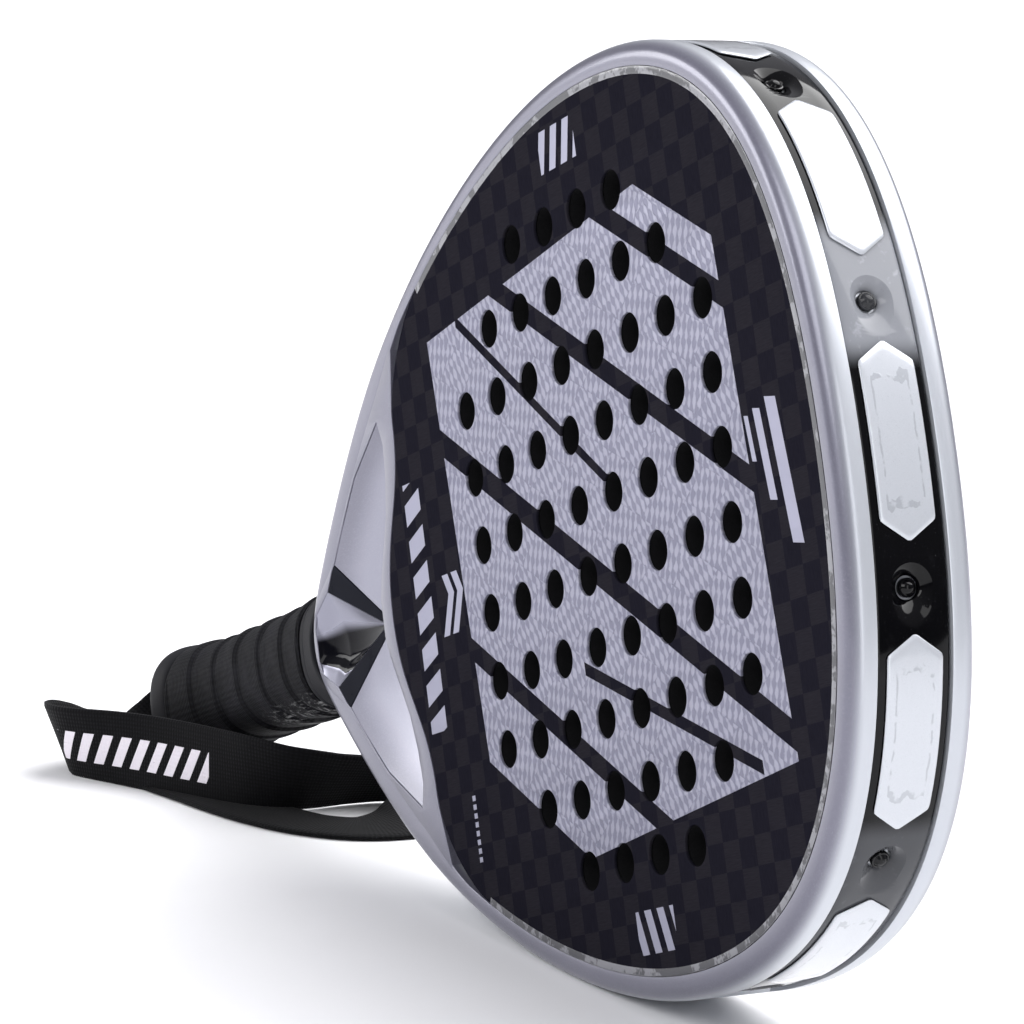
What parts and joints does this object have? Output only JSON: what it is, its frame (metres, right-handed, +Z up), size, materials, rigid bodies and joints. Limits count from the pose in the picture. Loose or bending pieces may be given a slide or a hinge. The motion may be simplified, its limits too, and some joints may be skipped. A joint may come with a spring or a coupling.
{
  "type": "padel racket",
  "caption": "Teardrop padel racket standing on its side edge: perforated carbon face, silver frame, glossy edge guard, sculpted throat, wrapped grip and a loose wrist strap.",
  "frame": {"origin": "on the floor under the middle of the racket, leaving its loose wrist strap out", "axes": "+Z up from the floor; +X along the floor from the handle's end towards the head; +Y out of the rear face, so the front face looks towards -Y"},
  "size_m": [0.467, 0.1084, 0.2649],
  "materials": {
    "silver_lacquer": "satin",
    "navy_inlay": "gloss",
    "carbon_face": "satin",
    "foam": "matte",
    "guard_black": "gloss",
    "screw_black": "gloss",
    "window_silver": "satin",
    "grip_rubber": "matte",
    "wrap": "matte",
    "webbing": "matte"
  },
  "bodies": {
    "root": {"frame": "silver_lacquer", "throat_block": "silver_lacquer", "throat_arm_front_upper": "navy_inlay", "throat_arm_front_lower": "navy_inlay", "throat_arm_rear_upper": "navy_inlay", "throat_arm_rear_lower": "navy_inlay", "core": "foam", "face_front": "carbon_face", "face_rear": "carbon_face", "edge_guard": "guard_black", "guard_screw_1": "screw_black", "guard_screw_2": "screw_black", "guard_screw_3": "screw_black", "guard_screw_4": "screw_black", "guard_screw_5": "screw_black", "guard_screw_6": "screw_black", "guard_window_1": "window_silver", "guard_window_2": "window_silver", "guard_window_3": "window_silver", "guard_window_4": "window_silver", "guard_window_5": "window_silver", "handle_core": "carbon_face", "base_grip": "grip_rubber", "grip_collar": "grip_rubber", "overgrip": "wrap", "butt_cap": "grip_rubber", "strap_anchor": "webbing", "wrist_strap": "webbing"}
  },
  "joints": []
}
